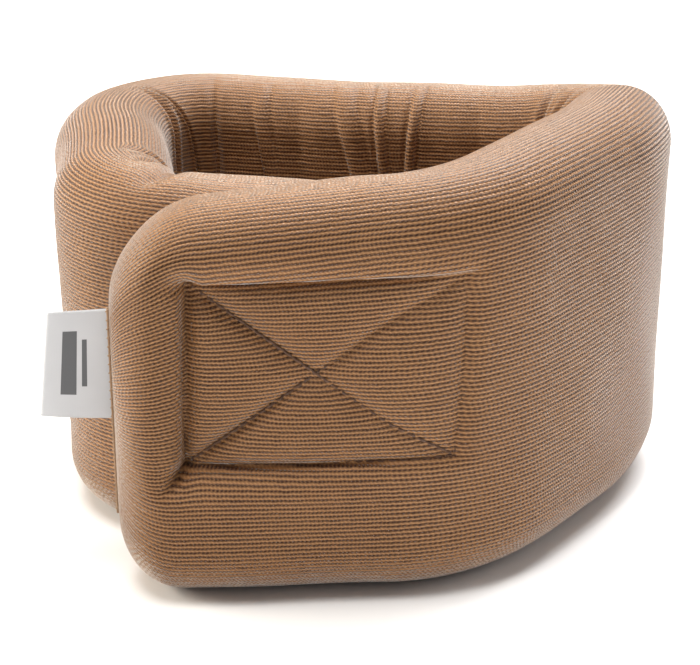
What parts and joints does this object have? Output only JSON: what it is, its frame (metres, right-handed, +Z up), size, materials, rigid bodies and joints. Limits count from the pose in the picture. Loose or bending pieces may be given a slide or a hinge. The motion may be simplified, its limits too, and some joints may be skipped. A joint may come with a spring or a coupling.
{
  "type": "cervical collar",
  "caption": "Soft foam cervical collar: a thick strip in a tan rib-knit cover, rolled into a ring and closed with a box-stitched hook-and-loop flap.",
  "frame": {"origin": "centre of the plan box, on the surface that the collar stands on", "axes": "+Z up out of the neck opening, -Y towards the closure flap, +X to the right when facing the closure"},
  "size_m": [0.1535, 0.1446, 0.0964],
  "materials": {
    "knit": "ribbed knit",
    "foam": "open-cell foam",
    "thread": "twisted thread",
    "hook_tape": "hook tape",
    "loop_tape": "loop pile",
    "label_satin": "satin"
  },
  "bodies": {
    "back": {"back_foam": "foam", "back_cover": "knit"},
    "right_side": {"right_foam": "foam", "right_cover": "knit"},
    "closure_flap": {"flap_foam": "foam", "flap_cover": "knit", "hook_patch": "hook_tape", "hook_patch_box_stitch": "thread", "cross_stitch_rising": "thread", "cross_stitch_falling": "thread", "flap_end_seam": "thread"},
    "label_tab": {"size_label": "label_satin"},
    "left_side": {"left_foam": "foam", "left_cover": "knit"},
    "inner_end": {"inner_end_foam": "foam", "inner_end_cover": "knit", "loop_patch": "loop_tape", "loop_patch_stitch": "thread", "inner_end_seam": "thread"}
  },
  "joints": [
    {"name": "right_flex", "type": "hinge", "parent": "back", "child": "right_side", "pos_m": [0.07123, 0.03822, 0.045], "axis": [0, 0, 1], "range_deg": [0, 60], "stiffness_Nm_per_rad": 0.05},
    {"name": "left_flex", "type": "hinge", "parent": "back", "child": "left_side", "pos_m": [-0.06006, 0.06532, 0.045], "axis": [0, 0, 1], "range_deg": [-30, 0], "stiffness_Nm_per_rad": 0.05},
    {"name": "inner_end_flex", "type": "hinge", "parent": "left_side", "child": "inner_end", "pos_m": [-0.06086, -0.03186, 0.045], "axis": [0, 0, 1], "range_deg": [-15, 0], "stiffness_Nm_per_rad": 0.05},
    {"name": "flap_peel", "type": "hinge", "parent": "right_side", "child": "closure_flap", "pos_m": [0.03795, -0.05414, 0.045], "axis": [0, 0, 1], "range_deg": [0, 60], "stiffness_Nm_per_rad": 0.03},
    {"name": "label_flex", "type": "hinge", "parent": "closure_flap", "child": "label_tab", "pos_m": [-0.05424, -0.0557, 0.0493], "axis": [0, 0, 1], "range_deg": [-20, 60], "stiffness_Nm_per_rad": 0.0002}
  ],
  "couplings": [
    {"joint": "left_flex", "follows": "right_flex", "ratio": -0.5},
    {"joint": "inner_end_flex", "follows": "right_flex", "ratio": -0.25}
  ]
}
